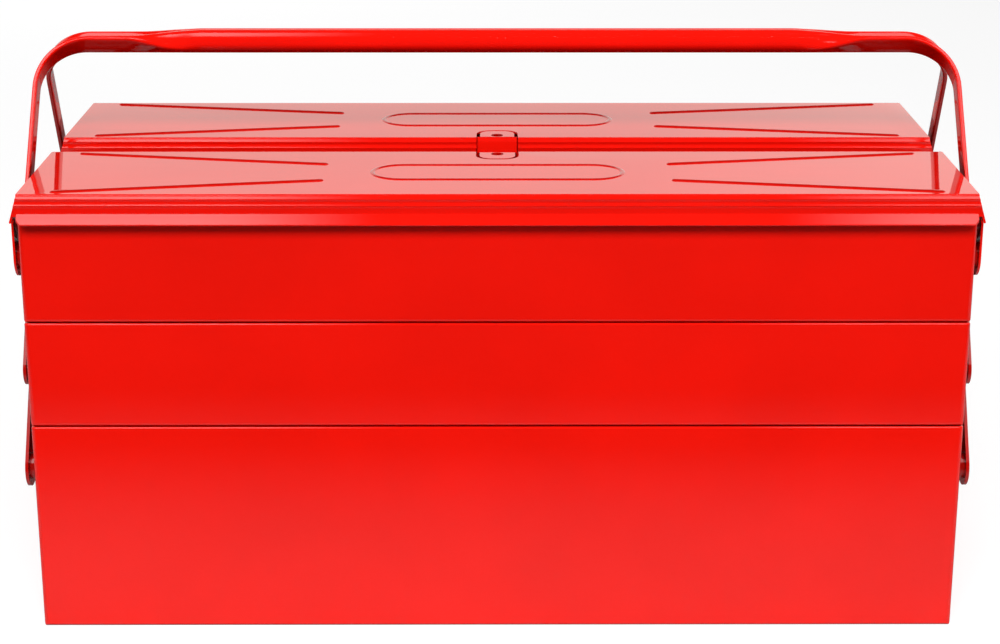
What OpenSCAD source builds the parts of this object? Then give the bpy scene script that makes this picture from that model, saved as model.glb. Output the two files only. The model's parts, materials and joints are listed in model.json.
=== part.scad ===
// Cantilever tool box: a base, four swinging trays, two lids and a handle in two halves.
// X runs along the box, -Y is the front and Z is up. The origin is under the middle of the base.
// The front half is drawn first, and the rear half is its mirror image across the middle.

/* [Base and trays] */
// Length of the base and of the trays
box_length = 432; // [340:1:520]
// Depth of one tray, front to back
tray_depth = 79; // [74:1:100]
// Free space between the front and the rear trays
centre_gap = 34; // [30:1:60]
// Height of the base
base_height = 101; // [80:1:140]
// Height of each tray
tray_height = 50; // [46:1:70]
// Thickness of the sheet of the base, trays and lids
sheet = 1; // [0.8:0.1:1.2]
// Gap between a tray and the rim that it stands over
tray_gap = 0.3; // [0.2:0.1:0.6]
// Height of the hem that is folded in round each rim
hem_height = 6; // [4:0.5:8]
// Outer radius of the upright corners
corner_radius = 2.5; // [2.2:0.1:4]
// Outer radius of the bends round the bottom of the base and trays
bottom_bend = 2; // [1.5:0.1:2.1]

/* [Bars of the linkage] */
// Distance of the long bar's foot behind the front of the base
foot_inset = 13.5; // [11:0.5:22]
// Distance of the long bar's foot below the rim of the base
foot_drop = 24; // [20:1:40]
// Distance of the long bar's head in front of the tray's inner wall
head_inset = 13.5; // [10:0.5:18]
// How much less than the trays' pitch each bar rises between two pivots
rise_shortfall = 5.27; // [4:0.01:10]
// Distance between the long bar's pivots and the links' pivots, along Y
link_offset = 25; // [24:1:28]
// Height difference between the long bar's pivots and the links' pivots
link_step = 3; // [0:0.5:5]
// Half of the long bar's width, and the radius of its ends
long_bar_radius = 9.5; // [8:0.5:10]
// Half of the links' width, and the radius of their ends
link_radius = 7.5; // [6.5:0.5:8]
// Thickness of the bars' sheet
bar_sheet = 1.5; // [1:0.1:1.5]
// Distance of the long bars from the end walls
long_bar_stand_off = 3.3; // [3.3:0.1:3.6]
// Distance of the links from the end walls
link_stand_off = 1.8; // [1.2:0.1:1.8]
// Outer diameter of the dimples that reach in to the end walls round the rivets
dimple_diameter = 12.6; // [12.2:0.1:13]
// Running gap between a dimple and the wall beside it
running_gap = 0.3; // [0.2:0.1:0.4]

/* [Rivets] */
// Diameter of a rivet's shank
rivet_diameter = 3.8; // [3:0.1:3.8]
// Diameter of a rivet's head
rivet_head = 8; // [6.5:0.1:8.5]
// Height of a rivet's head
rivet_head_height = 1.2; // [0.8:0.1:1.3]
// Radial clearance of a rivet in its holes
rivet_clearance = 0.05; // [0.02:0.01:0.1]

/* [Lids] */
// Height of a lid's top above the rim of the top tray
lid_rise = 11.2; // [10:0.1:14]
// How far a lid's front edge stands in front of the trays
lid_overhang = 4; // [3:0.1:6]
// How far a lid's inner edge stands inside the tray's inner wall
lid_inner_overhang = 2.3; // [2.2:0.1:3]
// Depth of a lid's front and end skirts
skirt_depth = 13.5; // [13:0.1:15]
// Depth of a lid's inner flange
inner_flange_depth = 12.6; // [12:0.1:14]
// How far the front skirt flares out along its lower edge
front_flare = 4; // [2:0.1:5]
// Height of the flared part of the front skirt
flare_height = 4.4; // [3:0.1:5]
// How far the lid's top ends inside the ends of the trays
lid_end_inset = 1.2; // [0.9:0.1:1.2]
// How far the end skirts slope out from top to bottom
end_flare = 3.7; // [3.6:0.1:3.8]
// How far the pressed beads stand out of the skirts
bead_height = 0.6; // [0.3:0.1:1]
// Width of the beads in the skirts
bead_width = 1.8; // [1.4:0.1:2]
// Distance of the upper bead below the lid's top
first_bead_drop = 2.1; // [2:0.1:2.4]
// Distance between the two beads of a skirt
bead_pitch = 3; // [2.4:0.1:3.2]
// Distance of the lid's pivot behind the front of the tray
lid_pivot_inset = 14; // [13:0.5:16]
// Distance of the lid's pivot below the rim of the top tray
lid_pivot_drop = 21.6; // [18:0.1:24]
// Radius of the ear at the lid's pivot, and half of its width
ear_radius = 9.5; // [7.5:0.5:10]
// Distance of the ears from the end walls
ear_stand_off = 2.4; // [2:0.1:2.6]

/* [Pressings in the lids] */
// Width of a pressed rib
rib_width = 3.2; // [2:0.1:5]
// Height of a pressed rib
rib_height = 0.7; // [0.4:0.1:0.9]
// Distance of the ribs' outer ends from the middle of the lid, along X
rib_outer_x = 199; // [150:1:240]
// Distance of the ribs' inner ends from the middle of the lid, along X
rib_inner_x = 81; // [75:1:110]
// Distance between the outer ends of a pair of ribs
rib_outer_spread = 75; // [50:1:76]
// Distance between the inner ends of a pair of ribs
rib_inner_spread = 32; // [20:1:50]
// Length of the plain oval that is pressed in the middle of a lid
oval_length = 116; // [80:1:130]
// Depth of the oval, front to back
oval_depth = 28.5; // [20:0.5:34]
// Width of the oval's bead
oval_bead_width = 2.4; // [1.8:0.1:4]
// Height of the oval's bead
oval_bead_height = 0.5; // [0.3:0.1:0.8]

/* [Hasps] */
// Width of a hasp
hasp_width = 17; // [14:0.5:24]
// Thickness of a hasp
hasp_thickness = 2; // [1.5:0.1:2.1]
// Radius of the corners at a hasp's tip
hasp_corner = 6; // [4:0.1:7]
// Radius of a hasp's bend, to the middle of its thickness
hasp_bend = 1.4; // [1.3:0.1:1.5]
// Width by which a hasp's leg is narrower than the lid's opening, at each side
hasp_leg_gap = 0.4; // [0.3:0.1:1]
// Reach of a hasp over the tray, from the tray's inner wall
hasp_reach = 13; // [11:0.5:16]
// Length of the hasp's leg below the rim of the tray
hasp_leg = 20; // [16:0.5:30]
// Diameter of the padlock hole
padlock_hole = 6; // [4:0.1:8]
// Distance of the padlock hole from the tray's inner wall
padlock_inset = 3.5; // [3:0.1:5]
// Clearance round a hasp in the lid's opening
hasp_clearance = 1.75; // [1:0.05:2.5]
// Distance between the two rivets of a hasp
hasp_rivet_pitch = 9; // [8.5:0.5:11]
// Distance of the hasp rivets below the rim of the tray
hasp_rivet_drop = 13; // [11:0.5:16]
// Diameter of the hasp rivets' shanks
hasp_rivet_diameter = 3; // [2.5:0.1:3.8]
// Diameter of the hasp rivets' heads
hasp_rivet_head = 5.5; // [5:0.1:6]
// Height of the hasp rivets' heads
hasp_rivet_head_height = 0.8; // [0.6:0.1:1]

/* [Handle] */
// Height of the grip's underside above the lids
grip_rise = 45.6; // [40:0.1:70]
// Height of the grip
grip_height = 11.3; // [10:0.1:16]
// Depth of one half of the grip
grip_depth = 5.5; // [5:0.1:7]
// Length of the full grip between its tapers
grip_length = 284; // [200:1:320]
// Length of the taper at each end of the grip
grip_taper = 26; // [16:1:40]
// Height of the bar outside the grip
bar_height = 9.4; // [7:0.1:10]
// Depth of the bar outside the grip
bar_depth = 4.9; // [4:0.1:6]
// Free space between the two halves of the handle
handle_split = 0.6; // [0.6:0.1:2]
// Width of the flat legs
leg_width = 10; // [8:0.5:12]
// Thickness of the flat legs
leg_thickness = 2.5; // [2:0.1:3]
// Distance of the legs from the tray's end wall
leg_stand_off = 4; // [3.8:0.1:6]
// Radius of the bends, to the middle of the bar
bend_radius = 18; // [14:1:26]
// Radius of the eye at the foot of a leg
eye_radius = 6.5; // [6:0.1:7]
// Distance of the handle's pivot in front of the tray's inner wall
handle_pivot_inset = 36; // [34:0.5:40]
// Distance of the handle's pivot below the rim of the top tray
handle_pivot_drop = 15.6; // [14:0.1:16]
// Outer diameter of the spacer behind each eye
spacer_diameter = 9; // [8:0.1:10]

/* [Hidden] */
$fn = 48;

paint = [0.89, 0.07, 0.06];
pressed_paint = [0.80, 0.06, 0.05];
zinc = [0.72, 0.73, 0.75];
// A cut reaches this far past the faces that it opens
past = 1;

// Places of the walls and rims
half_length = box_length / 2;
inner_wall_y = -centre_gap / 2;
front_y = inner_wall_y - tray_depth;
base_depth = -2 * front_y;
tray_pitch = tray_height + tray_gap;
mid_tray_z = base_height + tray_gap;
top_tray_z = mid_tray_z + tray_pitch;
top_rim_z = top_tray_z + tray_height;

// Pivots of the linkage, each as [y, z]: the bars lean inwards by the same step per tray
bar_step = [(tray_depth - foot_inset - head_inset) / 2, tray_pitch - rise_shortfall];
bar_foot = [front_y + foot_inset, base_height - foot_drop];
bar_middle = bar_foot + bar_step;
bar_head = bar_middle + bar_step;
link_shift = [link_offset, -link_step];
lower_link_foot = bar_foot + link_shift;
lower_link_head = bar_middle + link_shift;
upper_link_foot = bar_middle - link_shift;
upper_link_head = bar_head - link_shift;
mid_link_pivots = [lower_link_head, upper_link_foot];

// Lids
lid_z = top_rim_z + lid_rise;
lid_front_y = front_y - lid_overhang;
lid_inner_y = inner_wall_y + lid_inner_overhang;
lid_middle_y = (lid_front_y + lid_inner_y) / 2;
lid_half_length = half_length - lid_end_inset;
lid_pivot = [front_y + lid_pivot_inset, top_rim_z - lid_pivot_drop];
skirt_z = lid_z - skirt_depth;

// Handle
grip_bottom_z = lid_z + grip_rise;
handle_pivot = [inner_wall_y - handle_pivot_inset, top_rim_z - handle_pivot_drop];
leg_x = half_length + leg_stand_off + leg_thickness / 2;
// The flat inner side of the grip lies this far behind the middle of its section
grip_inner_depth = 1.3;
bar_centre = [-handle_split / 2 - grip_inner_depth, grip_bottom_z + bar_height / 2];
handle_lean = atan2(bar_centre[0] - handle_pivot[0], bar_centre[1] - handle_pivot[1]);
handle_reach = norm(bar_centre - handle_pivot);
loft_sides = 24;
bend_steps = 8;
taper_steps = 6;

rivet_hole = rivet_diameter + 2 * rivet_clearance;
hasp_rivet_hole = hasp_rivet_diameter + 2 * rivet_clearance;
hasp_rivet_z = top_rim_z - hasp_rivet_drop;

// ---- Placing ----

// The rear half is the mirror image of the front half
module half(rear) {
    if (rear) mirror([0, 1, 0]) children();
    else children();
}

// The left end is the mirror image of the right end
module end(left) {
    if (left) mirror([1, 0, 0]) children();
    else children();
}

module both_ends() {
    children();
    mirror([1, 0, 0]) children();
}

module both_halves() {
    children();
    mirror([0, 1, 0]) children();
}

// Stands an outline drawn in Y and Z against the right end wall, from "gap" outwards
module on_end(gap, thickness) {
    translate([half_length + gap, 0, 0]) rotate([90, 0, 90]) linear_extrude(thickness) children();
}

// A round bar along X through the pivot, from the first to the second distance off the end wall
module along_x(pivot, diameter, from, to) {
    translate([half_length + from, pivot[0], pivot[1]])
        rotate([0, 90, 0]) cylinder(d = diameter, h = to - from);
}

// ---- Outlines ----

module rounded_rectangle(length, depth, radius) {
    square([length - 2 * radius, depth], center = true);
    square([length, depth - 2 * radius], center = true);
    for (x = [-1, 1], y = [-1, 1])
        translate([x * (length / 2 - radius), y * (depth / 2 - radius)]) circle(radius);
}

// A flat bar with round ends from one pivot to another
module bar_outline(from, to, radius) {
    run = to - from;
    for (pivot = [from, to]) translate(pivot) circle(radius);
    translate(from) rotate(atan2(run[1], run[0])) translate([0, -radius])
        square([norm(run), 2 * radius]);
}

// The cut edge of a bent sheet whose middle line runs through the points
module bent_sheet(points, thickness) {
    for (point = points) translate(point) circle(d = thickness, $fn = 24);
    for (i = [0 : len(points) - 2]) {
        run = points[i + 1] - points[i];
        translate(points[i]) rotate(atan2(run[1], run[0])) translate([0, -thickness / 2])
            square([norm(run), thickness]);
    }
}

// ---- Base and trays ----

// A block's outline seen from the side, with its two lower corners rounded
module rounded_foot(length, height, radius) {
    translate([-length / 2, radius]) square([length, height - radius]);
    translate([radius - length / 2, 0]) square([length - 2 * radius, height]);
    for (x = [-1, 1]) translate([x * (length / 2 - radius), radius]) circle(radius);
}

// A block with upright corners of one radius and bends of another round its bottom
module bent_block(length, depth, height, corner, bend) {
    intersection() {
        linear_extrude(height) rounded_rectangle(length, depth, corner);
        translate([-length, 0, 0]) rotate([90, 0, 90]) linear_extrude(2 * length)
            rounded_foot(depth, height, bend);
        translate([0, depth, 0]) rotate([90, 0, 0]) linear_extrude(2 * depth)
            rounded_foot(length, height, bend);
    }
}

// An open pan with a hem folded in round its rim and a rolled top edge
module pan(length, depth, height) {
    difference() {
        union() {
            bent_block(length, depth, height - sheet, corner_radius, bottom_bend);
            rolled_rim(length, depth, height - sheet);
        }
        translate([0, 0, sheet])
            bent_block(length - 2 * sheet, depth - 2 * sheet, height - sheet - hem_height,
                       corner_radius - sheet, bottom_bend - sheet);
        translate([0, 0, sheet]) linear_extrude(height + past)
            square([length - 4 * sheet, depth - 4 * sheet], center = true);
    }
}

// A roll of the folded sheet round the top of a rim
module rolled_rim(length, depth, z) {
    run_x = length - 2 * corner_radius;
    run_y = depth - 2 * corner_radius;
    for (y = [-1, 1]) translate([-run_x / 2, y * (depth / 2 - sheet), z])
        rotate([0, 90, 0]) cylinder(r = sheet, h = run_x);
    for (x = [-1, 1]) translate([x * (length / 2 - sheet), run_y / 2, z])
        rotate([90, 0, 0]) cylinder(r = sheet, h = run_y);
    for (x = [0, 1], y = [0, 1]) mirror([x, 0, 0]) mirror([0, y, 0])
        translate([run_x / 2, run_y / 2, z]) rotate_extrude(angle = 90)
            translate([corner_radius - sheet, 0]) circle(sheet);
}

module base_box() color(paint) difference() {
    pan(box_length, base_depth, base_height);
    both_halves() both_ends() for (pivot = [bar_foot, lower_link_foot]) rivet_cut(pivot);
}

module tray(z, pivots) {
    difference() {
        translate([0, inner_wall_y - tray_depth / 2, z]) pan(box_length, tray_depth, tray_height);
        both_ends() for (pivot = pivots) rivet_cut(pivot);
    }
}

module mid_tray() color(paint) tray(mid_tray_z, concat([bar_middle], mid_link_pivots));

module top_tray() color(paint) difference() {
    tray(top_tray_z, [bar_head, upper_link_head, lid_pivot, handle_pivot]);
    hasp_rivet_places() rotate([90, 0, 0])
        cylinder(d = hasp_rivet_hole, h = 4 * sheet, center = true);
}

// ---- Bars and rivets ----

// A rivet's hole through the right end wall and all that lies against it
module rivet_cut(pivot) {
    along_x(pivot, rivet_hole, -2 * sheet - past, running_gap + bar_sheet + past);
}

// A round dimple that reaches in from a plate to the right end wall
module dimple(pivot, stand_off, thickness) {
    along_x(pivot, dimple_diameter, running_gap, stand_off + thickness / 2);
}

// The room in a dimple, which takes the rivet's head
module dimple_room(pivot, stand_off, thickness) {
    along_x(pivot, dimple_diameter - 2 * thickness, running_gap + thickness,
            stand_off + thickness + past);
}

// A flat bar at the right end, with a dimple at each pivot
module pressed_bar(from, to, radius, stand_off, pivots) {
    difference() {
        union() {
            on_end(stand_off, bar_sheet) bar_outline(from, to, radius);
            for (pivot = pivots) dimple(pivot, stand_off, bar_sheet);
        }
        for (pivot = pivots) {
            dimple_room(pivot, stand_off, bar_sheet);
            rivet_cut(pivot);
        }
    }
}

module long_bar() color(pressed_paint)
    pressed_bar(bar_foot, bar_head, long_bar_radius, long_bar_stand_off,
                [bar_foot, bar_middle, bar_head]);

module lower_link() color(pressed_paint)
    pressed_bar(lower_link_foot, lower_link_head, link_radius, link_stand_off,
                [lower_link_foot, lower_link_head]);

module upper_link() color(pressed_paint)
    pressed_bar(upper_link_foot, upper_link_head, link_radius, link_stand_off,
                [upper_link_foot, upper_link_head]);

// A rivet through the right end wall, whose outer head lies at the given distance off the wall
module end_rivet(pivot, head_gap) {
    along_x(pivot, rivet_diameter, -sheet - rivet_head_height / 2, head_gap + rivet_head_height / 2);
    translate([half_length - sheet, pivot[0], pivot[1]]) rotate([0, -90, 0]) rivet_dome();
    translate([half_length + head_gap, pivot[0], pivot[1]]) rotate([0, 90, 0]) rivet_dome();
}

module rivet_dome() {
    cylinder(d = rivet_head, h = rivet_head_height / 2);
    translate([0, 0, rivet_head_height / 2])
        cylinder(d1 = rivet_head, d2 = rivet_head * 0.6, h = rivet_head_height / 2);
}

module bar_rivets(pivots) color(zinc)
    both_ends() for (pivot = pivots) end_rivet(pivot, running_gap + bar_sheet + rivet_clearance);

// ---- Lids ----

function arc_points(centre, radius, from, to, steps) =
    [for (i = [0 : steps]) let (angle = from + (to - from) * i / steps)
        centre + radius * [cos(angle), sin(angle)]];

// Middle line of a skirt with its two beads, from the top bend down, as [outward, down]
function beaded_skirt(depth) =
    [[bead_height, first_bead_drop],
     [0, first_bead_drop + bead_width / 2],
     [0, first_bead_drop + bead_pitch - bead_width / 2],
     [bead_height, first_bead_drop + bead_pitch],
     [0, first_bead_drop + bead_pitch + bead_width / 2],
     [0, depth]];
// The bend between the top and a skirt, to the sheet's middle line
lid_bend = first_bead_drop - bead_width / 2 - sheet / 2;

// The lid's section across the box: inner flange, top and front skirt with its flared edge
function lid_section() = let (
        top = lid_z - sheet / 2,
        inner = lid_inner_y - sheet / 2,
        front = lid_front_y + sheet / 2,
        inner_line = beaded_skirt(inner_flange_depth - sheet / 2),
        front_line = beaded_skirt(skirt_depth - flare_height))
    concat([for (i = [len(inner_line) - 1 : -1 : 0])
                [inner + inner_line[i][0], lid_z - inner_line[i][1]]],
           arc_points([inner - lid_bend, top - lid_bend], lid_bend, 0, 90, 2),
           arc_points([front + lid_bend, top - lid_bend], lid_bend, 90, 180, 2),
           [for (point = front_line) [front - point[0], lid_z - point[1]]],
           [[front - front_flare, skirt_z + sheet / 2]]);

// The end skirt's section along the box, at the right end
function end_section() = [[lid_half_length - sheet, lid_z - sheet / 2],
                          [lid_half_length - sheet / 2, lid_z - sheet],
                          [lid_half_length - sheet / 2 + end_flare, skirt_z + sheet / 2]];

// The ear's section: it steps out under the skirt's lower edge and hangs down beside the end wall
function ear_section() = let (plate = half_length + ear_stand_off + sheet / 2)
    [[lid_half_length - sheet / 2 + end_flare, skirt_z + sheet],
     [plate, skirt_z - 2 * sheet],
     [plate, lid_pivot[1] - ear_radius - sheet]];

// Room inside the outer faces of the end skirts, which closes the lid's corners
module between_end_skirts() {
    reach = lid_half_length + end_flare;
    rotate([90, 0, 0]) translate([0, 0, lid_inner_y - past])
        linear_extrude(2 * tray_depth) polygon([
            [-lid_half_length, lid_z + past], [lid_half_length, lid_z + past],
            [lid_half_length, lid_z - sheet], [reach, skirt_z], [reach, skirt_z - past],
            [-reach, skirt_z - past], [-reach, skirt_z], [-lid_half_length, lid_z - sheet]]);
}

module lid_ear() {
    intersection() {
        translate([0, lid_pivot[0] + ear_radius, 0]) rotate([90, 0, 0])
            linear_extrude(2 * ear_radius) bent_sheet(ear_section(), sheet);
        on_end(-past, end_flare + 3 * past) translate(lid_pivot) {
            circle(ear_radius);
            translate([-ear_radius - past, 0])
                square([2 * (ear_radius + past), skirt_z + 2 * sheet - lid_pivot[1]]);
        }
    }
    dimple(lid_pivot, ear_stand_off, sheet);
}

// Radius of the round back of a pressed bead
function bead_radius(width, height) = (width * width / 4 + height * height) / (2 * height);

// Section of a pressed bead: its middle is at the lid's top face, and its flanks end in the sheet
module bead_section(width, height) {
    intersection() {
        translate([0, height - bead_radius(width, height)]) circle(bead_radius(width, height));
        translate([-width, -sheet / 2]) square([2 * width, sheet / 2 + height]);
    }
}

// A round rod with ball ends, lying just under the lid's top from one point to another
module sunk_rod(from, to, radius, sink) {
    run = to - from;
    translate([from[0], from[1], lid_z - sink]) rotate([0, 90, atan2(run[1], run[0])])
        rotate_extrude() intersection() {
            union() {
                circle(radius);
                translate([0, norm(run)]) circle(radius);
                translate([-radius, 0]) square([2 * radius, norm(run)]);
            }
            translate([0, -radius]) square([radius, norm(run) + 2 * radius]);
        }
}

module rib_rods(inset) {
    radius = bead_radius(rib_width, rib_height);
    for (x = [-1, 1], y = [-1, 1])
        sunk_rod([x * rib_inner_x, lid_middle_y + y * rib_inner_spread / 2],
                 [x * rib_outer_x, lid_middle_y + y * rib_outer_spread / 2],
                 radius - inset, radius - rib_height);
}

module ribs() intersection() {
    rib_rods(0);
    translate([-half_length, lid_front_y, lid_z - sheet / 2])
        cube([box_length, lid_inner_y - lid_front_y, sheet / 2 + rib_height]);
}

module oval() {
    radius = oval_depth / 2;
    run = oval_length - oval_depth;
    for (side = [-1, 1]) {
        translate([side * run / 2, lid_middle_y, lid_z]) rotate([0, 0, side * -90])
            rotate_extrude(angle = 180) translate([radius, 0])
                bead_section(oval_bead_width, oval_bead_height);
        translate([-run / 2, lid_middle_y + side * radius, lid_z])
            rotate([90, 0, 90]) linear_extrude(run)
                bead_section(oval_bead_width, oval_bead_height);
    }
}

// The hasp's plan, with room round it for the lid's opening
module hasp_plan(room) {
    half_width = hasp_width / 2 + room;
    tip_y = inner_wall_y - hasp_reach - room;
    radius = hasp_corner + room;
    translate([-half_width, tip_y + radius])
        square([2 * half_width, hasp_reach + room - radius + lid_inner_overhang + past]);
    translate([-half_width + radius, tip_y])
        square([2 * (half_width - radius), hasp_reach]);
    for (side = [-1, 1]) translate([side * (half_width - radius), tip_y + radius]) circle(radius);
}

module lid() color(paint) difference() {
    union() {
        intersection() {
            translate([-half_length - end_flare, 0, 0]) rotate([90, 0, 90])
                linear_extrude(box_length + 2 * end_flare) bent_sheet(lid_section(), sheet);
            between_end_skirts();
        }
        both_ends() {
            translate([0, lid_inner_y - sheet / 2, 0]) rotate([90, 0, 0])
                linear_extrude(lid_inner_y - lid_front_y - sheet) bent_sheet(end_section(), sheet);
            lid_ear();
        }
        ribs();
        oval();
    }
    translate([0, 0, lid_z - inner_flange_depth - past])
        linear_extrude(inner_flange_depth + 2 * past) hasp_plan(hasp_clearance);
    rib_rods(sheet);
    both_ends() {
        dimple_room(lid_pivot, ear_stand_off, sheet);
        rivet_cut(lid_pivot);
        flare_corner_cut();
    }
}

// Ends the flared edge at the lid's corner at the right end
module flare_corner_cut() {
    tip = lid_front_y - front_flare;
    corner = front_flare / 2;
    reach = lid_half_length + end_flare + past;
    translate([0, 0, skirt_z - past]) linear_extrude(flare_height + past + sheet) polygon([
        [lid_half_length - corner - past, tip - past], [lid_half_length, tip + corner],
        [lid_half_length, lid_front_y], [reach, lid_front_y], [reach, tip - past]]);
}

module lid_rivets() color(zinc)
    both_ends() end_rivet(lid_pivot, running_gap + sheet + rivet_clearance);

// ---- Hasps ----

module hasp_rivet_places() {
    for (side = [-1, 1]) translate([side * hasp_rivet_pitch / 2, inner_wall_y, hasp_rivet_z]) children();
}

// A strip that stands against the tray's inner wall and turns in over the tray, flush with the lid
module hasp() color(pressed_paint) {
    middle_y = inner_wall_y + hasp_thickness / 2;
    top = lid_z - hasp_thickness / 2;
    leg_width = hasp_width + 2 * (hasp_clearance - hasp_leg_gap);
    line = concat([[middle_y, top_rim_z - hasp_leg]],
                  arc_points([middle_y - hasp_bend, top - hasp_bend], hasp_bend, 0, 90, 4),
                  [[inner_wall_y - hasp_reach - past, top]]);
    difference() {
        intersection() {
            translate([-leg_width / 2, 0, 0]) rotate([90, 0, 90])
                linear_extrude(leg_width) bent_sheet(line, hasp_thickness);
            translate([0, 0, top_rim_z - hasp_leg - past])
                linear_extrude(hasp_leg + lid_rise + 2 * past) {
                    hasp_plan(0);
                    translate([-leg_width / 2 - past, inner_wall_y])
                        square([leg_width + 2 * past, hasp_thickness + past]);
                }
        }
        translate([0, inner_wall_y - padlock_inset, lid_z - 2 * hasp_thickness])
            cylinder(d = padlock_hole, h = 3 * hasp_thickness);
        hasp_rivet_places() rotate([90, 0, 0])
            cylinder(d = hasp_rivet_hole, h = 4 * hasp_thickness, center = true);
    }
}

module hasp_rivets() color(zinc) hasp_rivet_places() {
    translate([0, hasp_thickness, 0]) rotate([-90, 0, 0]) hasp_rivet_end();
    translate([0, -sheet, 0]) rotate([90, 0, 0]) hasp_rivet_end();
    translate([0, hasp_thickness + hasp_rivet_head_height / 2, 0]) rotate([90, 0, 0])
        cylinder(d = hasp_rivet_diameter, h = hasp_thickness + sheet + hasp_rivet_head_height);
}

module hasp_rivet_end() {
    cylinder(d1 = hasp_rivet_head, d2 = hasp_rivet_head * 0.7, h = hasp_rivet_head_height);
}

// ---- Handle ----

function blend(a, b, t) = a + (b - a) * t;
function ease(t) = t * t * (3 - 2 * t);

// A section of the handle: half its size along the bend, its depth inwards and outwards, and the
// power that squares its corners
leg_form = [leg_thickness / 2, leg_width / 2, leg_width / 2, 6];
bar_form = [bar_height / 2, grip_inner_depth, bar_depth - grip_inner_depth, 3];
grip_form = [grip_height / 2, grip_inner_depth, grip_depth - grip_inner_depth, 2.4];

// One ring of points: x, distance from the pivot, turn of the path, lean of the section, its form
function ring(x, reach, turn, lean, form, lift) =
    [for (i = [0 : loft_sides - 1]) let (
        angle = 360 * i / loft_sides,
        round = pow(pow(abs(cos(angle)), form[3]) + pow(abs(sin(angle)), form[3]), -1 / form[3]),
        along = form[0] * round * cos(angle),
        across = (sin(angle) > 0 ? form[1] : form[2]) * round * sin(angle),
        up = along * sin(turn))
        [x + along * cos(turn),
         handle_pivot[0] + reach * sin(handle_lean) + up * sin(lean) + across * cos(lean),
         handle_pivot[1] + reach * cos(handle_lean) + up * cos(lean) - across * sin(lean) + lift]];

// Rings of the right half, from the foot of the leg to the end of the taper
function right_rings() = concat(
    [ring(leg_x, leg_width / 2, 0, handle_lean, leg_form, 0)],
    [for (i = [0 : bend_steps]) let (t = i / bend_steps, turn = 90 * t)
        ring(leg_x - bend_radius * (1 - cos(turn)),
             handle_reach - bend_radius * (1 - sin(turn)), turn,
             blend(handle_lean, 0, ease(t)), blend(leg_form, bar_form, ease(t)), 0)],
    [for (i = [0 : taper_steps]) let (t = ease(i / taper_steps))
        ring(grip_length / 2 + grip_taper * (1 - i / taper_steps), handle_reach, 90, 0,
             blend(bar_form, grip_form, t), t * (grip_height - bar_height) / 2)]);

function mirrored(rings) =
    [for (i = [len(rings) - 1 : -1 : 0]) [for (point = rings[i]) [-point[0], point[1], point[2]]]];

module loft(rings) {
    last = len(rings) - 1;
    polyhedron(
        points = [for (r = rings, point = r) point],
        faces = concat(
            [[for (j = [0 : loft_sides - 1]) j]],
            [[for (j = [loft_sides - 1 : -1 : 0]) last * loft_sides + j]],
            [for (i = [0 : last - 1], j = [0 : loft_sides - 1]) let (
                k = (j + 1) % loft_sides, a = i * loft_sides, b = a + loft_sides)
                [a + j, b + j, b + k, a + k]]));
}

module handle() color(paint) difference() {
    union() {
        loft(concat(right_rings(), mirrored(right_rings())));
        both_ends() along_x(handle_pivot, 2 * eye_radius, leg_stand_off, leg_stand_off + leg_thickness);
    }
    both_ends() along_x(handle_pivot, rivet_hole, leg_stand_off - past,
                        leg_stand_off + leg_thickness + past);
}

module handle_spacers() color(zinc) both_ends() difference() {
    along_x(handle_pivot, spacer_diameter, 0, leg_stand_off - rivet_clearance);
    along_x(handle_pivot, rivet_hole, -past, leg_stand_off + past);
}

module handle_rivets() color(zinc)
    both_ends() end_rivet(handle_pivot, leg_stand_off + leg_thickness + rivet_clearance);

// ---- The pieces ----

base_box();
mid_tray();  // front_mid_tray
half(true) mid_tray();  // rear_mid_tray
top_tray();  // front_top_tray
half(true) top_tray();  // rear_top_tray
end(true) long_bar();  // front_long_bar_left
end(false) long_bar();  // front_long_bar_right
half(true) end(true) long_bar();  // rear_long_bar_left
half(true) end(false) long_bar();  // rear_long_bar_right
end(true) lower_link();  // front_lower_link_left
end(false) lower_link();  // front_lower_link_right
half(true) end(true) lower_link();  // rear_lower_link_left
half(true) end(false) lower_link();  // rear_lower_link_right
end(true) upper_link();  // front_upper_link_left
end(false) upper_link();  // front_upper_link_right
half(true) end(true) upper_link();  // rear_upper_link_left
half(true) end(false) upper_link();  // rear_upper_link_right
lid();  // front_lid
half(true) lid();  // rear_lid
hasp();  // front_hasp
half(true) hasp();  // rear_hasp
handle();  // front_handle
half(true) handle();  // rear_handle
both_halves() bar_rivets([bar_foot]);  // base_bar_rivets
both_halves() bar_rivets([lower_link_foot]);  // base_link_rivets
bar_rivets([bar_middle]);  // front_mid_bar_rivets
half(true) bar_rivets([bar_middle]);  // rear_mid_bar_rivets
bar_rivets(mid_link_pivots);  // front_mid_link_rivets
half(true) bar_rivets(mid_link_pivots);  // rear_mid_link_rivets
bar_rivets([bar_head]);  // front_top_bar_rivets
half(true) bar_rivets([bar_head]);  // rear_top_bar_rivets
bar_rivets([upper_link_head]);  // front_top_link_rivets
half(true) bar_rivets([upper_link_head]);  // rear_top_link_rivets
lid_rivets();  // front_lid_rivets
half(true) lid_rivets();  // rear_lid_rivets
handle_rivets();  // front_handle_rivets
half(true) handle_rivets();  // rear_handle_rivets
handle_spacers();  // front_handle_spacers
half(true) handle_spacers();  // rear_handle_spacers
hasp_rivets();  // front_hasp_rivets
half(true) hasp_rivets();  // rear_hasp_rivets
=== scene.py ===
"""Finishes and lights the cantilever tool box.

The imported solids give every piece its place. The sheet metal is shown through copies of those
solids with their edges eased, because folded and painted sheet has no knife edges. Everything is
in metres, with X along the box, -Y at the front and Z up.
"""

import json
import math

import bmesh
import bpy
from mathutils import Matrix, Vector


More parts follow.
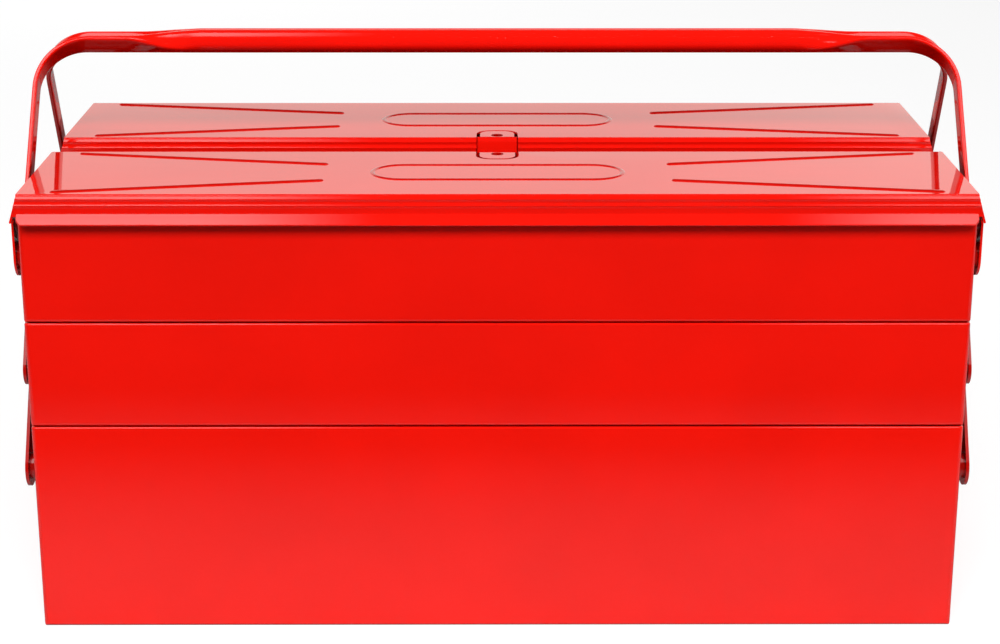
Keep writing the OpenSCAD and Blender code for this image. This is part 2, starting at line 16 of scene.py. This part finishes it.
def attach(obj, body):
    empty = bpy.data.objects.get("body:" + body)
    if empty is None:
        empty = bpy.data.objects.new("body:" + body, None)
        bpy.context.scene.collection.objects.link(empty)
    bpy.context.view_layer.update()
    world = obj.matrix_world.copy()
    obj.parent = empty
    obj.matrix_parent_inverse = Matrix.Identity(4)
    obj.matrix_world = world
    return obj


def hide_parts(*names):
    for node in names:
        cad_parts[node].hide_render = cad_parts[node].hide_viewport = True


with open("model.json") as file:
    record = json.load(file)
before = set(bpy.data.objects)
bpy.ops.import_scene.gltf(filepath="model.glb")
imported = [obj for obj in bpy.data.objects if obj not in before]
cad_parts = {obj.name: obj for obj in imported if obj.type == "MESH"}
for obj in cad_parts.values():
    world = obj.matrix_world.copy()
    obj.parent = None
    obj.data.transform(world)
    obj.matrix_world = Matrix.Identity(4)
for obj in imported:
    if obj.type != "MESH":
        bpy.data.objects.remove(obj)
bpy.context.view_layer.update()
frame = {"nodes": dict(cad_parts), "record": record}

MM = 0.001

# ---- Camera ----
# Where the camera stands, and how it looks at the box
CAMERA_PLACE = Vector((-2.5, -1030.5, 448.3)) * MM
CAMERA_PITCH = math.radians(17.59)      # downwards
CAMERA_YAW = math.radians(0.217)        # to the right
CAMERA_ROLL = math.radians(-0.033)
CAMERA_LENS = 77.49                     # on the sensor below
SENSOR_WIDTH = 36.0

# ---- Colours ----
RED = (0.85, 0.0065, 0.0022)
# The side bars' red, darkened as painted shade for the shade that they stand in
SHADED_BAR_RED = (0.44, 0.0042, 0.0024)
ZINC_LIGHT = (0.62, 0.63, 0.65)
ZINC_DARK = (0.50, 0.51, 0.54)
# Near-black zinc, painted shade where other parts stand close in front
ZINC_PAINTED_SHADE = (0.05, 0.045, 0.045)
WHITE = (1.0, 1.0, 1.0)
BACKDROP_WHITE = (1.0, 0.985, 0.92)


# ---- Materials ----

class Nodes:
    """Adds nodes to a material, and joins them, in a few words."""

    def __init__(self, name):
        self.material = bpy.data.materials.new(name)
        self.material.use_nodes = True
        self.tree = self.material.node_tree
        self.shader = self.tree.nodes["Principled BSDF"]

    def add(self, kind, **values):
        node = self.tree.nodes.new("ShaderNode" + kind)
        for name, value in values.items():
            if hasattr(node, name):
                setattr(node, name, value)
            else:
                node.inputs[name.replace("_", " ").title()].default_value = value
        return node

    def join(self, source, target):
        self.tree.links.new(source, target)


def own_place(nodes):
    """Coordinates that ride with the piece, from one node in each material."""
    place = nodes.tree.nodes.get("place")
    if place is None:
        place = nodes.add("TexCoord")
        place.name = "place"
    return place.outputs["Object"]


def noise(nodes, scale, detail=2.0):
    """A noise pattern on the piece's own coordinates, with its scale in cycles per metre."""
    pattern = nodes.add("TexNoise")
    pattern.inputs["Scale"].default_value = scale
    pattern.inputs["Detail"].default_value = detail
    nodes.join(own_place(nodes), pattern.inputs["Vector"])
    return pattern.outputs["Fac"]


def ramp(nodes, source, low, high, first, last):
    """Maps a value from low..high to first..last."""
    node = nodes.add("MapRange")
    sockets = ("From Min", "From Max", "To Min", "To Max")
    for socket, value in zip(sockets, (low, high, first, last)):
        node.inputs[socket].default_value = value
    nodes.join(source, node.inputs["Value"])
    return node.outputs["Result"]


def height_of(nodes, vector):
    """The Z part of a place or a direction."""
    split = nodes.add("SeparateXYZ")
    nodes.join(vector, split.inputs[0])
    return split.outputs["Z"]


def mix(nodes, factor, first, second):
    """Goes from the first colour to the second, as the factor goes from 0 to 1."""
    node = nodes.add("Mix")
    node.data_type = "RGBA"
    for name, colour in (("A", first), ("B", second)):
        if isinstance(colour, tuple):
            node.inputs[name].default_value = (*colour, 1)
        else:
            nodes.join(colour, node.inputs[name])
    nodes.join(factor, node.inputs["Factor"])
    return node.outputs["Result"]


def part_of(colour, share):
    return tuple(share * c for c in colour)


def bump(nodes, layers):
    """Stacks bumps, each as (height pattern, depth in metres)."""
    normal = None
    for height, depth in layers:
        node = nodes.add("Bump")
        node.inputs["Strength"].default_value = 1.0
        node.inputs["Distance"].default_value = depth
        nodes.join(height, node.inputs["Height"])
        if normal is not None:
            nodes.join(normal, node.inputs["Normal"])
        normal = node.outputs["Normal"]
    return normal


def near_openness(nodes, reach, closed, clear):
    """0 where other surfaces stand in front within the reach in millimetres, 1 in the clear."""
    near = nodes.add("AmbientOcclusion", samples=8)
    near.inputs["Distance"].default_value = reach * MM
    return ramp(nodes, near.outputs["AO"], closed, clear, 0.0, 1.0)


CLOUD_SHARE = 0.93                      # of the colour, in the deeper clouds of the paint
# Share of the colour kept as painted shade where other surfaces stand close in front
SHADOW_SHARE = 0.12                     # where other surfaces stand close in front
# Painted shade on the lids' raised ribs, which stand above the top panel:
RIB_SHADE_SHARE = 0.62                        # on the lids' pressed ribs
RIB_SHADE_FADE = 0.00015                      # metres over which the ribs' paint sets in
LOOKS_DOWN, LOOKS_ASIDE = -0.50, -0.15  # Z of the normals where the shade below is full, and none
PEEL_DEPTH = 0.0000045


def gloss_paint(name, colour, wave=0.00010, shade=(30.0, 0.02, 0.30), below=1.0, rib_shade_from=None):
    """Thick gloss powder coat: a clear skin with a faint orange peel on sheet that waves a little.

    The paint is darkened as painted shade where other surfaces stand close in front of it. The
    shade is how far that is looked for, in millimetres, and how open a place is where the painted
    shade is darkest and where it ends. Surfaces that look down keep only the given share of the
    colour, as painted shade. Above the given rib height, in metres, the paint is darker, as
    painted shade.
    """
    nodes = Nodes(name)
    shader = nodes.shader
    cloud = ramp(nodes, noise(nodes, 14, 3), 0.35, 0.65, 0.0, 1.0)
    base = mix(nodes, cloud, colour, part_of(colour, CLOUD_SHARE))
    if below < 1:
        # Painted shade: faces that look down keep only the given share of the colour
        normal = nodes.add("NewGeometry").outputs["Normal"]
        level = ramp(nodes, height_of(nodes, normal), LOOKS_DOWN, LOOKS_ASIDE, 0.0, 1.0)
        base = mix(nodes, level, part_of(colour, below), base)
    if rib_shade_from:
        # Painted shade: the ribs above the given height are darker
        height = height_of(nodes, own_place(nodes))
        level = ramp(nodes, height, rib_shade_from, rib_shade_from + RIB_SHADE_FADE, 1.0, 0.0)
        base = mix(nodes, level, part_of(colour, RIB_SHADE_SHARE), base)
    # Painted shade: the paint goes darker where other surfaces stand close in front
    open_part = near_openness(nodes, *shade)
    base = mix(nodes, open_part, part_of(colour, SHADOW_SHARE), base)
    nodes.join(base, shader.inputs["Base Color"])
    roughness = ramp(nodes, noise(nodes, 60, 4), 0.3, 0.7, 0.30, 0.42)
    nodes.join(roughness, shader.inputs["Roughness"])
    shader.inputs["Specular IOR Level"].default_value = 0.0
    shader.inputs["Coat Weight"].default_value = 1.0
    shader.inputs["Coat Roughness"].default_value = 0.04
    shader.inputs["Coat IOR"].default_value = 1.5
    peel = noise(nodes, 420, 1.5)
    sheet_wave = noise(nodes, 9, 1.0)
    normal = bump(nodes, [(sheet_wave, wave), (peel, PEEL_DEPTH)])
    nodes.join(normal, shader.inputs["Normal"])
    nodes.join(normal, shader.inputs["Coat Normal"])
    return nodes.material


def zinc(name):
    """Bright zinc plating on small steel fasteners."""
    nodes = Nodes(name)
    shader = nodes.shader
    shader.inputs["Metallic"].default_value = 1.0
    cloud = ramp(nodes, noise(nodes, 900, 4), 0.35, 0.65, 0.0, 1.0)
    plating = mix(nodes, cloud, ZINC_LIGHT, ZINC_DARK)
    # Painted shade: the plating goes near-black where other parts stand close in front
    open_part = near_openness(nodes, 12.0, 0.25, 0.75)
    nodes.join(mix(nodes, open_part, ZINC_PAINTED_SHADE, plating), shader.inputs["Base Color"])
    roughness = ramp(nodes, noise(nodes, 1500, 3), 0.3, 0.7, 0.22, 0.42)
    nodes.join(roughness, shader.inputs["Roughness"])
    nodes.join(bump(nodes, [(noise(nodes, 2500, 2), 0.000006)]), shader.inputs["Normal"])
    return nodes.material


FINISHES = {
    # The body's painted shade fades out more slowly, deepening the shadow under the lids
    "body_paint": gloss_paint("gloss_red_body", RED, shade=(30.0, 0.02, 0.40)),
    # The lids' raised ribs are darkened as painted shade
    "lid_paint": gloss_paint("gloss_red_lid", RED, wave=0.00006, rib_shade_from=0.21285),
    # The bars carry the darker red as painted shade
    "bar_paint": gloss_paint("gloss_shaded_red_bars", SHADED_BAR_RED, wave=0.00002),
    # The handle is darkened as painted shade where the lids stand below it, and on faces that look
    # down
    "handle_paint": gloss_paint("gloss_red_handle", RED, wave=0.00001,
                                shade=(80.0, 0.30, 0.80), below=0.42),
    # The hasp's strong painted shade darkens its hole and the gaps round it
    "hasp_paint": gloss_paint("gloss_red_hasp", RED, wave=0.00001, shade=(8.0, 0.45, 0.92)),
    "zinc_plated_steel": zinc("zinc_plating"),
}

SLOTS = {row["node"]: row["material_slot"] for row in frame["record"]["subparts"]}
BODIES = {node: body
          for body, nodes in frame["record"]["behaviour"]["bodies"].items() for node in nodes}


# ---- Pieces ----

SHARP_ANGLE = math.radians(34.0)        # edges over this stay sharp or are eased
HANDLE_SHARP_ANGLE = math.radians(38.0)
FLAT_ANGLE = math.radians(0.5)          # faces within this of each other are one face
WELD = 1e-6
LID_EASE = 0.00025
TRAY_EASE = 0.00015


def shown_piece(name, form, sharp_angle, finish):
    """Makes a smooth-shaded object of a form, with its sharp edges kept."""
    for face in form.faces:
        face.smooth = True
    for edge in form.edges:
        if len(edge.link_faces) != 2 or edge.calc_face_angle(0) > sharp_angle:
            edge.smooth = False
    mesh = bpy.data.meshes.new(name)
    form.to_mesh(mesh)
    form.free()
    piece = bpy.data.objects.new(name, mesh)
    bpy.context.scene.collection.objects.link(piece)
    piece.data.materials.append(finish)
    return piece


def eased_copy(node, width):
    """Shows a solid through a copy of itself, with its edges eased by a small round."""
    form = bmesh.new()
    form.from_mesh(frame["nodes"][node].data)
    bmesh.ops.remove_doubles(form, verts=form.verts, dist=WELD)
    bmesh.ops.dissolve_limit(form, angle_limit=FLAT_ANGLE, verts=form.verts, edges=form.edges)
    piece = shown_piece(node + "_eased", form, SHARP_ANGLE, FINISHES[SLOTS[node]])
    ease = piece.modifiers.new("eased edges", "BEVEL")
    ease.width = width
    ease.segments = 2
    ease.limit_method = "ANGLE"
    ease.angle_limit = SHARP_ANGLE
    ease.harden_normals = True
    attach(piece, BODIES[node])
    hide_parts(node)


# ---- Handle ----
# A handle is one steel strip, in millimetres: its width stands square to the plane that it is bent
# in, and its middle is drawn out into one half of the round grip.
LEG_X = 221.25
LEG_START = 3.0                         # from the rivet's centre, inside the eye
LEG_DRAW_IN = 1.2                       # how far the legs come in from their feet to the bends
PIVOT_Y, PIVOT_Z = -53.0, 186.0
EYE_RADIUS = 6.5
RIVET_HOLE = 1.95
STRIP = (1.25, 4.8, 4.8, 5.0)           # half its thickness, its reach inwards and outwards, and
GRIP = (5.6, 1.3, 4.2, 2.0)             # the power that squares its corners
STRIP_CENTRE = (-4.3, 263.0)
GRIP_CENTRE = (-1.6, 264.05)
STRIP_LEAN = math.radians(57.0)
BEND_RADIUS = 23.5
GRIP_HALF = 142.0
TAPER = 38.0
LEAN_POWER = 1.6                        # how late in the taper the strip turns upright
MEETING_Y = -0.3                        # where the front half ends, so that the halves stay apart
EDGE_RISE = math.radians(10.6)          # the tilt at which the taper's two edges run straight
SIDES, BEND_STEPS, TAPER_STEPS, EYE_SIDES = 36, 18, 14, 40
HALVINGS = 24                           # of the search for each taper ring's thickness


def ease_in_out(t):
    return t * t * (3 - 2 * t)


def blend_forms(first, last, t):
    return tuple(a + (b - a) * t for a, b in zip(first, last))


def section(x, centre, turn, lean, form):
    """One ring of the strip round its centre, as points in millimetres."""
    ring = []
    for i in range(SIDES):
        angle = 2 * math.pi * i / SIDES
        power = form[3]
        size = (abs(math.cos(angle)) ** power + abs(math.sin(angle)) ** power) ** (-1 / power)
        along = form[0] * size * math.cos(angle)
        across = (form[1] if math.sin(angle) > 0 else form[2]) * size * math.sin(angle)
        up = along * math.sin(turn)
        ring.append((x + along * math.cos(turn),
                     centre[0] + up * math.sin(lean) + across * math.cos(lean),
                     centre[1] + up * math.cos(lean) - across * math.sin(lean)))
    return ring


def edges(ring):
    """The lower and upper edges of a ring, as heights square to the tilt of EDGE_RISE."""
    heights = [z * math.cos(EDGE_RISE) + y * math.sin(EDGE_RISE) for x, y, z in ring]
    return min(heights), max(heights)


def taper_ring(step, half_thickness):
    """One ring between the strip, at step 0, and the grip, at step 1."""
    t = ease_in_out(step)
    form = (half_thickness,) + blend_forms(STRIP, GRIP, t)[1:]
    ring = section(GRIP_HALF + TAPER * (1 - step), blend_forms(STRIP_CENTRE, GRIP_CENTRE, t),
                   math.pi / 2, STRIP_LEAN * (1 - t ** LEAN_POWER), form)
    return [(x, min(y, MEETING_Y), z) for x, y, z in ring]


def strip_rings():
    """The right half of the front handle, from its eye to the middle of the grip."""
    run_y, run_z = STRIP_CENTRE[0] - PIVOT_Y, STRIP_CENTRE[1] - PIVOT_Z
    leg_lean = math.atan2(run_y, run_z)
    reach = math.hypot(run_y, run_z)

    def at(distance):
        return (PIVOT_Y + distance * math.sin(leg_lean), PIVOT_Z + distance * math.cos(leg_lean))

    rings = [section(LEG_X, at(LEG_START), 0, leg_lean, STRIP)]
    for i in range(BEND_STEPS + 1):
        t = i / BEND_STEPS
        turn = math.pi / 2 * t
        rings.append(section(LEG_X - LEG_DRAW_IN - BEND_RADIUS * (1 - math.cos(turn)),
                             at(reach - BEND_RADIUS * (1 - math.sin(turn))), turn,
                             leg_lean + (STRIP_LEAN - leg_lean) * t, STRIP))
    first, last = edges(rings[-1]), edges(taper_ring(1.0, GRIP[0]))
    for i in range(1, TAPER_STEPS + 1):
        step = i / TAPER_STEPS
        lower, upper = blend_forms(first, last, ease_in_out(step))
        thin, thick = STRIP[0], 1.2 * GRIP[0]
        for _ in range(HALVINGS):
            half = (thin + thick) / 2
            ring = taper_ring(step, half)
            seen = edges(ring)
            if seen[1] - seen[0] < upper - lower:
                thin = half
            else:
                thick = half
        lift = (lower - seen[0]) / math.cos(EDGE_RISE)
        rings.append([(x, y, z + lift) for x, y, z in ring])
    return rings


def add_eye(form, side, flip):
    """The strip's round end with its rivet hole."""
    turns = [2 * math.pi * i / EYE_SIDES for i in range(EYE_SIDES)]
    rings = []
    for radius, face in ((EYE_RADIUS, -1), (EYE_RADIUS, 1), (RIVET_HOLE, 1), (RIVET_HOLE, -1)):
        x = side * (LEG_X + face * STRIP[0])
        rings.append([form.verts.new(Vector((x,
                                             flip * (PIVOT_Y + radius * math.cos(turn)),
                                             PIVOT_Z + radius * math.sin(turn))) * MM)
                      for turn in turns])
    for a, b in zip(rings, rings[1:] + rings[:1]):
        for i in range(EYE_SIDES):
            k = (i + 1) % EYE_SIDES
            form.faces.new((a[i], b[i], b[k], a[k]))


def formed_handle(half):
    """Shows one handle half as the strip that it is bent from."""
    flip = 1 if half == "front" else -1
    form = bmesh.new()
    right = strip_rings()
    left = [[(-x, y, z) for x, y, z in ring] for ring in reversed(right)]
    rings = [[form.verts.new(Vector((x, flip * y, z)) * MM) for x, y, z in ring]
             for ring in right + left]
    for a, b in zip(rings, rings[1:]):
        for i in range(SIDES):
            k = (i + 1) % SIDES
            form.faces.new((a[i], b[i], b[k], a[k]))
    form.faces.new(rings[0])
    form.faces.new(rings[-1])
    for side in (-1, 1):
        add_eye(form, side, flip)
    bmesh.ops.recalc_face_normals(form, faces=form.faces)
    piece = shown_piece(half + "_handle_formed", form, HANDLE_SHARP_ANGLE,
                        FINISHES["handle_paint"])
    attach(piece, half + "_handle")
    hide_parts(half + "_handle")


# ---- Dressing ----

def dress_nodes():
    for name, node in frame["nodes"].items():
        node.data.materials.clear()
        node.data.materials.append(FINISHES[SLOTS[name]])
    for half in ("front", "rear"):
        formed_handle(half)
        eased_copy(half + "_lid", LID_EASE)
        eased_copy(half + "_hasp", LID_EASE)
        eased_copy(half + "_mid_tray", TRAY_EASE)
        eased_copy(half + "_top_tray", TRAY_EASE)
    eased_copy("base_box", TRAY_EASE)


# ---- Studio ----

def add_camera():
    data = bpy.data.cameras.new("camera")
    data.sensor_width = SENSOR_WIDTH
    data.lens = CAMERA_LENS
    camera = bpy.data.objects.new("camera", data)
    turn = (Matrix.Rotation(-CAMERA_YAW, 4, "Z")
            @ Matrix.Rotation(math.pi / 2 - CAMERA_PITCH, 4, "X")
            @ Matrix.Rotation(-CAMERA_ROLL, 4, "Z"))
    camera.matrix_world = Matrix.Translation(CAMERA_PLACE) @ turn
    bpy.context.scene.collection.objects.link(camera)
    bpy.context.scene.camera = camera


def add_lamp(name, place, target, size, watts):
    """A soft lamp that lights the paint, but isn't mirrored in its gloss."""
    data = bpy.data.lights.new(name, "AREA")
    data.shape = "RECTANGLE"
    data.size, data.size_y = size
    data.energy = watts
    lamp = bpy.data.objects.new(name, data)
    lamp.location = place
    lamp.rotation_euler = (Vector(target) - Vector(place)).to_track_quat("-Z", "Y").to_euler()
    lamp.visible_glossy = False
    bpy.context.scene.collection.objects.link(lamp)


class Field:
    """Works out one value per direction or place, in the nodes of a tree."""

    def __init__(self, tree, coordinates):
        self.tree = tree
        place = tree.nodes.new("ShaderNodeTexCoord")
        parts = tree.nodes.new("ShaderNodeSeparateXYZ")
        tree.links.new(place.outputs[coordinates], parts.inputs[0])
        self.x, self.y, self.z = parts.outputs

    def fade(self, source, start, end):
        """Rises smoothly from 0 at the start to 1 at the end, which may lie below the start."""
        node = self.tree.nodes.new("ShaderNodeMapRange")
        node.interpolation_type = "SMOOTHSTEP"
        node.inputs["From Min"].default_value = start
        node.inputs["From Max"].default_value = end
        self.tree.links.new(source, node.inputs["Value"])
        return node.outputs["Result"]

    def blend(self, source, first, last):
        """Goes from the first value to the last, as the source goes from 0 to 1."""
        return self.work("ADD", self.work("MULTIPLY", source, last - first), first)

    def work(self, operation, first, *others):
        for other in others:
            node = self.tree.nodes.new("ShaderNodeMath")
            node.operation = operation
            self.tree.links.new(first, node.inputs[0])
            if isinstance(other, (int, float)):
                node.inputs[1].default_value = other
            else:
                self.tree.links.new(other, node.inputs[1])
            first = node.outputs[0]
        return first


def light_path(tree, *names):
    """1 for rays of the named kinds, 0 for the rest."""
    path = tree.nodes.new("ShaderNodeLightPath")
    total = path.outputs[names[0]]
    for name in names[1:]:
        node = tree.nodes.new("ShaderNodeMath")
        node.operation = "MAXIMUM"
        tree.links.new(total, node.inputs[0])
        tree.links.new(path.outputs[name], node.inputs[1])
        total = node.outputs[0]
    return total


def background(tree, colour, strength):
    node = tree.nodes.new("ShaderNodeBackground")
    node.inputs["Color"].default_value = (*colour, 1)
    if isinstance(strength, (int, float)):
        node.inputs["Strength"].default_value = strength
    else:
        tree.links.new(strength, node.inputs["Strength"])
    return node.outputs[0]


def mixed(tree, factor, first, second):
    node = tree.nodes.new("ShaderNodeMixShader")
    tree.links.new(factor, node.inputs["Fac"])
    tree.links.new(first, node.inputs[1])
    tree.links.new(second, node.inputs[2])
    return node.outputs[0]


AMBIENT = 0.16                          # on the paint's colour, from all round
ROOM = 0.03                             # in the gloss, beside the backdrop and the soft boxes
SOFT_BOXES = 4.2
RIGHT_BOX_SHARE = 0.78


def add_world():
    """A studio in the paint's gloss: a pale backdrop, and two soft boxes over the front."""
    world = bpy.data.worlds.new("studio")
    bpy.context.scene.world = world
    world.use_nodes = True
    tree = world.node_tree
    tree.nodes.clear()
    field = Field(tree, "Generated")
    # The backdrop behind the box, up to a height of about 35 degrees
    backdrop = field.work("MULTIPLY", field.fade(field.y, 0.15, 0.45),
                          field.fade(field.z, 0.66, 0.50))
    # The soft boxes, over the front at the left and at the right
    band = field.work("MULTIPLY", field.fade(field.z, 0.58, 0.70),
                      field.fade(field.y, -0.12, -0.25))
    left = field.work("MULTIPLY", field.fade(field.x, -0.05, -0.14),
                      field.fade(field.x, -0.62, -0.50))
    right = field.work("MULTIPLY", field.fade(field.x, 0.13, 0.21),
                       field.fade(field.x, 0.62, 0.50), RIGHT_BOX_SHARE)
    boxes = field.work("MULTIPLY", field.work("ADD", left, right), band)
    low = field.blend(field.fade(field.z, 0.18, 0.30), 0.96, 1.10)
    side = field.blend(field.fade(field.x, 0.05, 0.22), 1.0, 1.16)
    backdrop_light = background(tree, BACKDROP_WHITE,
                                field.work("MULTIPLY", backdrop, low, side))
    box_light = background(tree, WHITE, field.work("MULTIPLY", boxes, SOFT_BOXES))
    total = background(tree, WHITE, ROOM)
    for light in (backdrop_light, box_light):
        node = tree.nodes.new("ShaderNodeAddShader")
        tree.links.new(total, node.inputs[0])
        tree.links.new(light, node.inputs[1])
        total = node.outputs[0]
    dim = background(tree, WHITE, AMBIENT)
    white = background(tree, WHITE, 1.0)
    seen = mixed(tree, light_path(tree, "Is Glossy Ray"), dim, total)
    seen = mixed(tree, light_path(tree, "Is Camera Ray", "Is Transmission Ray"), seen, white)
    out = tree.nodes.new("ShaderNodeOutputWorld")
    tree.links.new(seen, out.inputs["Surface"])


FLOOR_HALF = 6.0
FLOOR_SHADE = 0.30
FLOOR_LIFT = 0.78                       # keeps the floor pale outside the shadow
BOUNCE_NEAR, BOUNCE_FAR = 0.60, 0.03    # what the floor gives back under the box and before it


def add_floor():
    """A plain pale floor that keeps the box's shadow, and darkens out of sight in front of it."""
    mesh = bpy.data.meshes.new("floor")
    form = bmesh.new()
    bmesh.ops.create_grid(form, x_segments=1, y_segments=1, size=FLOOR_HALF)
    form.to_mesh(mesh)
    form.free()
    floor = bpy.data.objects.new("floor", mesh)
    bpy.context.scene.collection.objects.link(floor)
    nodes = Nodes("pale_floor")
    tree = nodes.tree
    shader = nodes.shader
    shader.inputs["Base Color"].default_value = (FLOOR_SHADE, FLOOR_SHADE, FLOOR_SHADE, 1)
    shader.inputs["Roughness"].default_value = 1.0
    shader.inputs["Specular IOR Level"].default_value = 0.0
    lift = nodes.add("Emission")
    lift.inputs["Strength"].default_value = FLOOR_LIFT
    both = nodes.add("AddShader")
    nodes.join(shader.outputs[0], both.inputs[0])
    nodes.join(lift.outputs[0], both.inputs[1])
    # What the box's gloss and undersides get back from the floor
    field = Field(tree, "Object")
    bounce = nodes.add("BsdfDiffuse")
    shade = ramp(nodes, field.fade(field.y, -0.11, -0.42), 0.0, 1.0, BOUNCE_NEAR, BOUNCE_FAR)
    grey = nodes.add("CombineColor")
    for channel in grey.inputs:
        nodes.join(shade, channel)
    nodes.join(grey.outputs[0], bounce.inputs["Color"])
    seen = light_path(tree, "Is Camera Ray", "Is Transmission Ray")
    nodes.join(mixed(tree, seen, bounce.outputs[0], both.outputs[0]),
               tree.nodes["Material Output"].inputs["Surface"])
    floor.data.materials.append(nodes.material)


def add_lamps():
    middle = Vector((0, 0, 0.12))
    add_lamp("key", (-0.10, -2.05, 1.72), middle, (1.8, 0.8), 64)
    add_lamp("fill", (1.5, -1.6, 0.9), middle, (1.2, 1.2), 8)
    add_lamp("top", (0, -0.5, 1.9), middle, (2.0, 1.0), 9)
    add_lamp("back", (-0.6, 2.2, 0.9), middle, (1.6, 1.2), 9)


add_camera()
add_world()
add_floor()
add_lamps()
dress_nodes()
bpy.context.scene.view_settings.view_transform = "Standard"
